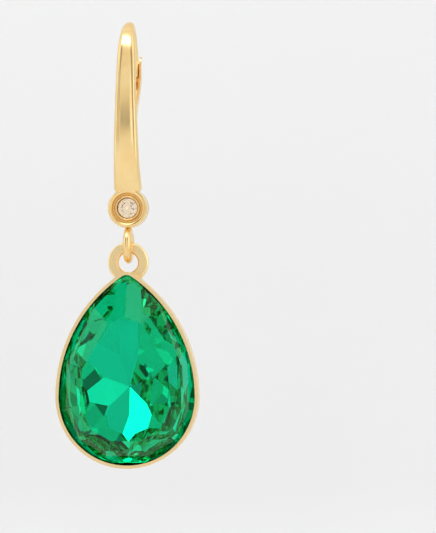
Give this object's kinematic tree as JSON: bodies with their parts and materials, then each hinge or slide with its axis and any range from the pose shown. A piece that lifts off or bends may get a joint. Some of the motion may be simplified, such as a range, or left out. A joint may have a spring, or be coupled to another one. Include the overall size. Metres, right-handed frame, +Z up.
{
  "type": "teardrop earring",
  "caption": "Lever-back drop earring in polished gold with a small round pale stone and a large faceted green pear-shaped drop.",
  "frame": {"origin": "inside of the crown, where the ear wire bears on the piercing", "axes": "+Z up when worn, the front with both stones faces -Y, +X to the right of someone who looks at the front"},
  "size_m": [0.0134, 0.0088, 0.0421],
  "materials": {
    "polished_gold": "polished yellow gold plate",
    "rivet_gold": "polished yellow gold plate",
    "lever_gold": "polished yellow gold plate",
    "cup_gold": "polished yellow gold plate",
    "pale_crystal": "clear cut crystal",
    "green_crystal": "foil-backed emerald-green cut crystal"
  },
  "bodies": {
    "hook": {"ear_hook": "polished_gold", "accent_stone": "pale_crystal", "hinge_rivet": "rivet_gold"},
    "lever": {"lever": "lever_gold"},
    "drop": {"drop_setting": "cup_gold", "pear_stone": "green_crystal"}
  },
  "joints": [
    {"name": "lever_hinge", "type": "hinge", "parent": "hook", "child": "lever", "pos_m": [0, -0.00158, -0.0124], "axis": [-1, 0, 0], "range_deg": [0, 45]},
    {"name": "drop_swing", "type": "hinge", "parent": "hook", "child": "drop", "pos_m": [0, -0.0012, -0.0215], "axis": [0, 1, 0], "range_deg": [-45, 45]}
  ]
}
